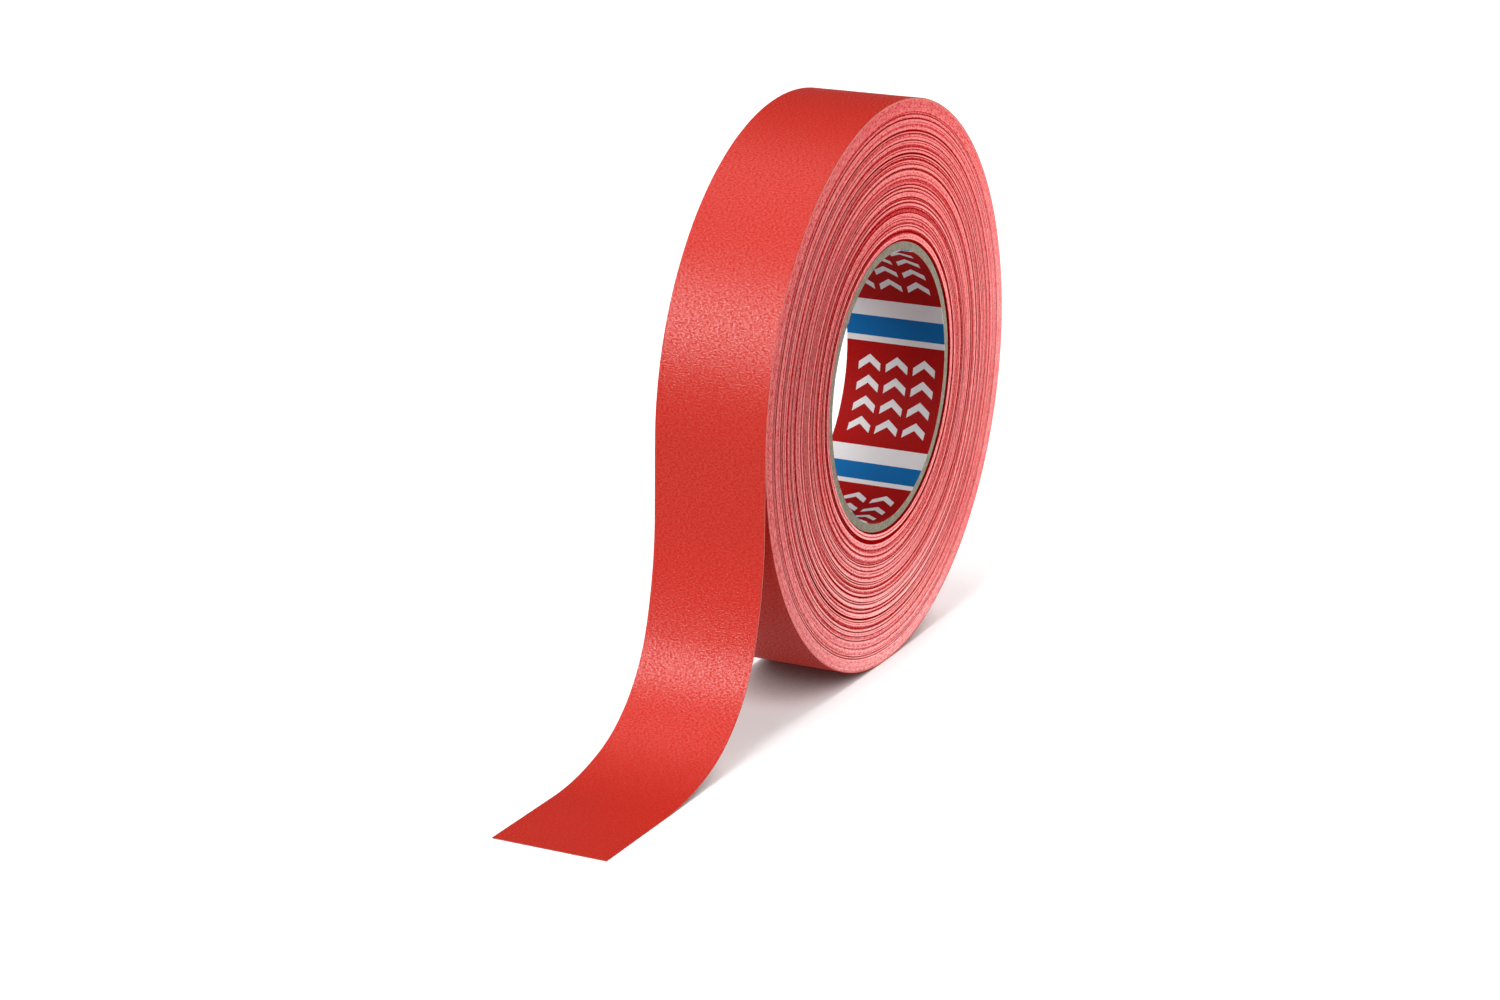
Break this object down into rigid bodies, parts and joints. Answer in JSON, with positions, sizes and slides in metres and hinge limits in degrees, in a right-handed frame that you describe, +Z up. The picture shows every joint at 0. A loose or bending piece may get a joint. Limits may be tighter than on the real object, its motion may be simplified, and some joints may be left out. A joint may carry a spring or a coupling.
{
  "type": "duct tape roll",
  "caption": "Roll of coated-cloth repair tape on a printed paperboard core, standing on its rim, with its loose end hanging down and flaring out onto the floor.",
  "frame": {"origin": "centre of the core's bore, in the middle of the tape's width", "axes": "+Y along the roll's axis; +Z up when it stands on its rim; the loose end leaves towards -X"},
  "size_m": [0.2458, 0.032, 0.1598],
  "materials": {
    "liner": "satin",
    "board": "matte",
    "wound_tape": "satin",
    "film": "satin",
    "scrim": "matte",
    "adhesive": "satin"
  },
  "bodies": {
    "roll": {"core_liner": "liner", "core_ply_inner": "board", "core_ply_second": "board", "core_ply_third": "board", "core_ply_outer": "board", "wound_turns": "wound_tape", "last_turn_film": "film", "last_turn_scrim": "scrim", "last_turn_adhesive": "adhesive"},
    "leader_hang": {"leader_hang_film": "film", "leader_hang_scrim": "scrim", "leader_hang_adhesive": "adhesive"},
    "leader_curve": {"leader_curve_film": "film", "leader_curve_scrim": "scrim", "leader_curve_adhesive": "adhesive"},
    "leader_tip": {"leader_tip_film": "film", "leader_tip_scrim": "scrim", "leader_tip_adhesive": "adhesive"}
  },
  "joints": [
    {"name": "leader_peel", "type": "hinge", "parent": "roll", "child": "leader_hang", "pos_m": [-0.07984, 0, -0.008], "axis": [0, 1, 0], "range_deg": [0, 90]},
    {"name": "leader_upper_bend", "type": "hinge", "parent": "leader_hang", "child": "leader_curve", "pos_m": [-0.08475, 0, -0.04999], "axis": [0, 1, 0], "range_deg": [-35, 35]},
    {"name": "leader_lower_bend", "type": "hinge", "parent": "leader_curve", "child": "leader_tip", "pos_m": [-0.11053, 0, -0.07577], "axis": [0, 1, 0], "range_deg": [-35, 35]}
  ]
}
